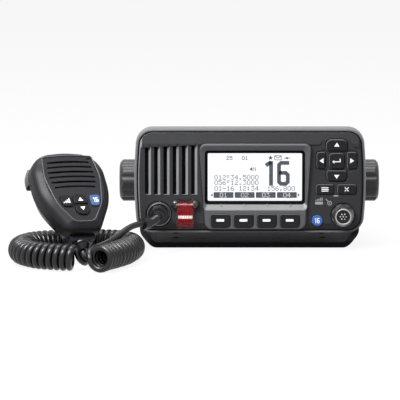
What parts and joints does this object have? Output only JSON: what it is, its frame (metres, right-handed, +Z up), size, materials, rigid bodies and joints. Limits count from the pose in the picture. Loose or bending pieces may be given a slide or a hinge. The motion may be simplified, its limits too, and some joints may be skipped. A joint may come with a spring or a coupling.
{
  "type": "vhf marine radio",
  "caption": "Fixed-mount marine transceiver with a display, keys, dial and louvred speaker on a tilting U bracket, with a wired hand microphone on a curly cord.",
  "frame": {"origin": "centre of the bracket's flat underside, straight below the tilt axis", "axes": "+X to the set's right as its user sees it, +Z up, the display looks along -Y"},
  "size_m": [0.288, 0.2234, 0.0963],
  "materials": {
    "bracket_black": "satin",
    "case_black": "matte",
    "aluminium": "satin",
    "steel": "satin",
    "brass": "satin",
    "rubber_black": "matte",
    "knob_black": "satin",
    "rim_grey": "satin",
    "face_grey": "matte",
    "frame_grey": "satin",
    "key_black": "satin",
    "key_blue": "satin",
    "lens_clear": "gloss",
    "lcd_white": "matte",
    "board_green": "satin",
    "speaker_grey": "matte",
    "dial_dark": "gloss",
    "insert_gloss": "gloss",
    "cover_red": "gloss",
    "button_red": "gloss",
    "chrome": "gloss",
    "plug_black": "satin",
    "hand_grey": "matte",
    "cord_black": "gloss"
  },
  "bodies": {
    "bracket": {"bracket": "bracket_black", "cord_coil": "cord_black", "cord_lead": "cord_black", "cord_tail": "cord_black"},
    "radio": {"chassis": "case_black", "antenna_socket": "chrome", "cable_glands": "rubber_black", "main_board": "board_green", "rf_shield": "steel", "panel_rim": "rim_grey", "front_seal": "rubber_black", "front_panel": "face_grey", "case_screws": "steel", "display_frame": "frame_grey", "display_lens": "lens_clear", "lcd_panel": "lcd_white", "logic_board": "board_green", "speaker": "speaker_grey", "encoder": "knob_black", "distress_base": "insert_gloss", "cover_pin": "steel", "cover_spring": "steel", "mic_jack": "chrome", "plug_body": "plug_black", "plug_boot": "cord_black", "bracket_washers": "rubber_black"},
    "knob_left": {"knob_left": "knob_black"},
    "knob_right": {"knob_right": "knob_black"},
    "dial_push": {"encoder_plunger": "steel"},
    "dial": {"dial_knob": "dial_dark", "dial_shaft": "steel"},
    "distress_cover": {"distress_cover": "cover_red"},
    "distress_button": {"distress_button": "button_red"},
    "lock_ring": {"lock_ring": "plug_black"},
    "handset": {"handset_front": "hand_grey", "handset_plate": "hand_grey", "handset_seal": "rubber_black", "handset_rear": "hand_grey", "handset_board": "board_green", "handset_speaker": "speaker_grey", "hanger_stud": "steel", "handset_screws": "steel", "handset_boot": "cord_black"},
    "ptt_button": {"ptt_button": "key_black"},
    "soft_key_1": {"soft_key_1": "key_black"},
    "soft_key_2": {"soft_key_2": "key_black"},
    "soft_key_3": {"soft_key_3": "key_black"},
    "soft_key_4": {"soft_key_4": "key_black"},
    "key_up": {"key_up": "key_black"},
    "key_down": {"key_down": "key_black"},
    "key_left": {"key_left": "key_black"},
    "key_right": {"key_right": "key_black"},
    "enter_key": {"enter_key": "key_black"},
    "menu_key": {"menu_key": "key_black"},
    "clear_key": {"clear_key": "key_black"},
    "channel_key": {"channel_key": "key_blue"},
    "level_key": {"level_key": "key_black"},
    "handset_up_key": {"handset_up_key": "key_black"},
    "handset_down_key": {"handset_down_key": "key_black"},
    "handset_channel_key": {"handset_channel_key": "key_blue"}
  },
  "joints": [
    {"name": "tilt", "type": "hinge", "parent": "bracket", "child": "radio", "pos_m": [0, 0, 0.04865], "axis": [-1, 0, 0], "range_deg": [-10, 20], "deforming": ["cord_lead"]},
    {"name": "knob_left_turn", "type": "hinge", "parent": "radio", "child": "knob_left", "pos_m": [-0.095, 0, 0.04865], "axis": [1, 0, 0], "continuous": true},
    {"name": "knob_right_turn", "type": "hinge", "parent": "radio", "child": "knob_right", "pos_m": [0.095, 0, 0.04865], "axis": [1, 0, 0], "continuous": true},
    {"name": "soft_key_1_press", "type": "slide", "parent": "radio", "child": "soft_key_1", "axis": [0, 1, 0], "range_m": [0, 0.001], "stiffness_N_per_m": 600},
    {"name": "soft_key_2_press", "type": "slide", "parent": "radio", "child": "soft_key_2", "axis": [0, 1, 0], "range_m": [0, 0.001], "stiffness_N_per_m": 600},
    {"name": "soft_key_3_press", "type": "slide", "parent": "radio", "child": "soft_key_3", "axis": [0, 1, 0], "range_m": [0, 0.001], "stiffness_N_per_m": 600},
    {"name": "soft_key_4_press", "type": "slide", "parent": "radio", "child": "soft_key_4", "axis": [0, 1, 0], "range_m": [0, 0.001], "stiffness_N_per_m": 600},
    {"name": "key_up_press", "type": "slide", "parent": "radio", "child": "key_up", "axis": [0, 1, 0], "range_m": [0, 0.001], "stiffness_N_per_m": 600},
    {"name": "key_down_press", "type": "slide", "parent": "radio", "child": "key_down", "axis": [0, 1, 0], "range_m": [0, 0.001], "stiffness_N_per_m": 600},
    {"name": "key_left_press", "type": "slide", "parent": "radio", "child": "key_left", "axis": [0, 1, 0], "range_m": [0, 0.001], "stiffness_N_per_m": 600},
    {"name": "key_right_press", "type": "slide", "parent": "radio", "child": "key_right", "axis": [0, 1, 0], "range_m": [0, 0.001], "stiffness_N_per_m": 600},
    {"name": "enter_key_press", "type": "slide", "parent": "radio", "child": "enter_key", "axis": [0, 1, 0], "range_m": [0, 0.001], "stiffness_N_per_m": 600},
    {"name": "menu_key_press", "type": "slide", "parent": "radio", "child": "menu_key", "axis": [0, 1, 0], "range_m": [0, 0.001], "stiffness_N_per_m": 600},
    {"name": "clear_key_press", "type": "slide", "parent": "radio", "child": "clear_key", "axis": [0, 1, 0], "range_m": [0, 0.001], "stiffness_N_per_m": 600},
    {"name": "channel_key_press", "type": "slide", "parent": "radio", "child": "channel_key", "axis": [0, 1, 0], "range_m": [0, 0.001], "stiffness_N_per_m": 600},
    {"name": "dial_press", "type": "slide", "parent": "radio", "child": "dial_push", "axis": [0, 1, 0], "range_m": [0, 0.0008], "stiffness_N_per_m": 900},
    {"name": "dial_turn", "type": "hinge", "parent": "dial_push", "child": "dial", "pos_m": [0.07195, -0.06, 0.029], "axis": [0, -1, 0], "continuous": true},
    {"name": "cover_flip", "type": "hinge", "parent": "radio", "child": "distress_cover", "pos_m": [-0.0505, -0.0604, 0.0374], "axis": [-1, 0, 0], "range_deg": [0, 100], "stiffness_Nm_per_rad": 0.002, "springref_deg": -22.92},
    {"name": "distress_press", "type": "slide", "parent": "radio", "child": "distress_button", "axis": [0, 1, 0], "range_m": [0, 0.0015], "stiffness_N_per_m": 600},
    {"name": "lock_ring_turn", "type": "hinge", "parent": "radio", "child": "lock_ring", "pos_m": [-0.0709, -0.062, 0.02975], "axis": [0, -1, 0], "continuous": true},
    {"name": "handset_lift", "type": "slide", "parent": "bracket", "child": "handset", "axis": [0, 0, 1], "range_m": [0, 0.03], "deforming": ["cord_tail"]},
    {"name": "level_key_press", "type": "slide", "parent": "handset", "child": "level_key", "axis": [-0.3596, 0.6764, -0.6428], "range_m": [0, 0.0008], "stiffness_N_per_m": 600},
    {"name": "handset_up_key_press", "type": "slide", "parent": "handset", "child": "handset_up_key", "axis": [-0.3596, 0.6764, -0.6428], "range_m": [0, 0.0008], "stiffness_N_per_m": 600},
    {"name": "handset_down_key_press", "type": "slide", "parent": "handset", "child": "handset_down_key", "axis": [-0.3596, 0.6764, -0.6428], "range_m": [0, 0.0008], "stiffness_N_per_m": 600},
    {"name": "handset_channel_key_press", "type": "slide", "parent": "handset", "child": "handset_channel_key", "axis": [-0.3596, 0.6764, -0.6428], "range_m": [0, 0.0008], "stiffness_N_per_m": 600},
    {"name": "ptt_press", "type": "slide", "parent": "handset", "child": "ptt_button", "axis": [0.8953, 0.4443, -0.0334], "range_m": [0, 0.0016], "stiffness_N_per_m": 600}
  ]
}
